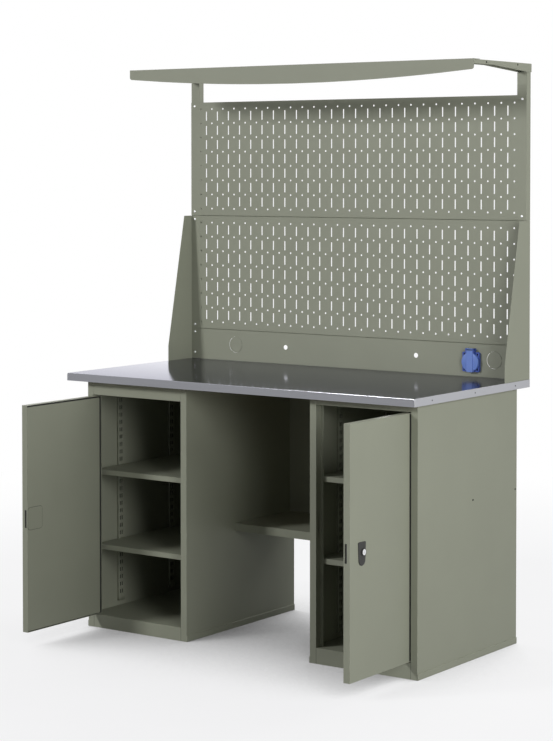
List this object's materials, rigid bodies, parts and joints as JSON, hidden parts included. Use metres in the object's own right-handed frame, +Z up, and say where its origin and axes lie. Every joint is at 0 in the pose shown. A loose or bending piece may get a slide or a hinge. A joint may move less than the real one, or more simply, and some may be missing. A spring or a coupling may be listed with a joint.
{
  "type": "workbench with cabinet doors",
  "caption": "Steel workbench with a clad worktop on cupboard pedestals with hinged lockable doors, a kneehole shelf, a perforated rear screen, a covered socket and an arched canopy.",
  "frame": {"origin": "on the floor under the middle of the whole bench with its doors open", "axes": "+X along the bench to the right as seen from the front, +Y from the front to the back, +Z up"},
  "size_m": [1.406, 1.047, 1.9161],
  "materials": {
    "green_grey_paint": "satin powder coat",
    "worktop_steel": "polished",
    "edge_steel": "satin",
    "core_board": "raw",
    "zinc_plated_steel": "zinc plated",
    "black_plastic": "moulded",
    "blue_plastic": "moulded"
  },
  "bodies": {
    "bench": {"worktop_sheet": "worktop_steel", "worktop_left_end_strip": "edge_steel", "worktop_right_end_strip": "edge_steel", "worktop_core": "core_board", "left_outer_side": "green_grey_paint", "left_outer_front_strip": "green_grey_paint", "left_outer_rear_strip": "green_grey_paint", "left_inner_side": "green_grey_paint", "left_inner_front_strip": "green_grey_paint", "left_inner_rear_strip": "green_grey_paint", "left_back": "green_grey_paint", "left_floor_pan": "green_grey_paint", "left_top_pan": "green_grey_paint", "left_upper_shelf": "green_grey_paint", "left_lower_shelf": "green_grey_paint", "left_stand": "green_grey_paint", "left_post": "green_grey_paint", "left_post_joiner": "green_grey_paint", "left_arm": "green_grey_paint", "right_outer_side": "green_grey_paint", "right_outer_front_strip": "green_grey_paint", "right_outer_rear_strip": "green_grey_paint", "right_inner_side": "green_grey_paint", "right_inner_front_strip": "green_grey_paint", "right_inner_rear_strip": "green_grey_paint", "right_back": "green_grey_paint", "right_floor_pan": "green_grey_paint", "right_top_pan": "green_grey_paint", "right_upper_shelf": "green_grey_paint", "right_lower_shelf": "green_grey_paint", "right_stand": "green_grey_paint", "right_post": "green_grey_paint", "right_post_joiner": "green_grey_paint", "right_arm": "green_grey_paint", "kneehole_shelf": "green_grey_paint", "kneehole_back": "green_grey_paint", "lower_panel": "green_grey_paint", "upper_panel": "green_grey_paint", "socket_band": "green_grey_paint", "fascia": "green_grey_paint", "socket_body": "blue_plastic", "socket_insert": "black_plastic", "socket_lid_pin": "zinc_plated_steel"},
    "left_door": {"left_door_skin": "green_grey_paint", "left_door_liner": "green_grey_paint", "left_door_upper_pin": "zinc_plated_steel", "left_door_lower_pin": "zinc_plated_steel", "left_lock_plate": "black_plastic", "left_lock_case": "zinc_plated_steel"},
    "left_lock": {"left_lock_cylinder": "zinc_plated_steel"},
    "left_bolt": {"left_lock_bolt": "zinc_plated_steel"},
    "right_door": {"right_door_skin": "green_grey_paint", "right_door_liner": "green_grey_paint", "right_door_upper_pin": "zinc_plated_steel", "right_door_lower_pin": "zinc_plated_steel", "right_lock_plate": "black_plastic", "right_lock_case": "zinc_plated_steel"},
    "right_lock": {"right_lock_cylinder": "zinc_plated_steel"},
    "right_bolt": {"right_lock_bolt": "zinc_plated_steel"},
    "socket_cover": {"socket_lid": "blue_plastic"}
  },
  "joints": [
    {"name": "left_door_hinge", "type": "hinge", "parent": "bench", "child": "left_door", "pos_m": [-0.60451, -0.15649, 0.4215], "axis": [0, 0, 1], "range_deg": [-15, 90]},
    {"name": "right_door_hinge", "type": "hinge", "parent": "bench", "child": "right_door", "pos_m": [0.65501, -0.15649, 0.4375], "axis": [0, 0, 1], "range_deg": [-90, 15]},
    {"name": "left_lock_turn", "type": "hinge", "parent": "left_door", "child": "left_lock", "pos_m": [-0.6105, -0.45551, 0.4185], "axis": [-1, 0, 0], "range_deg": [0, 90]},
    {"name": "left_bolt_slide", "type": "slide", "parent": "left_door", "child": "left_bolt", "axis": [0, -1, 0], "range_m": [0, 0.0125]},
    {"name": "right_lock_turn", "type": "hinge", "parent": "right_door", "child": "right_lock", "pos_m": [0.661, -0.42951, 0.4345], "axis": [1, 0, 0], "range_deg": [0, 90]},
    {"name": "right_bolt_slide", "type": "slide", "parent": "right_door", "child": "right_bolt", "axis": [0, -1, 0], "range_m": [0, 0.0125]},
    {"name": "socket_lid_hinge", "type": "hinge", "parent": "bench", "child": "socket_cover", "pos_m": [0.496, 0.47591, 0.961], "axis": [-1, 0, 0], "range_deg": [0, 110], "stiffness_Nm_per_rad": 0.05, "springref_deg": -22.92}
  ],
  "couplings": [
    {"joint": "left_bolt_slide", "follows": "left_lock_turn", "m_per_rad": 0.0076394},
    {"joint": "right_bolt_slide", "follows": "right_lock_turn", "m_per_rad": 0.0076394}
  ]
}
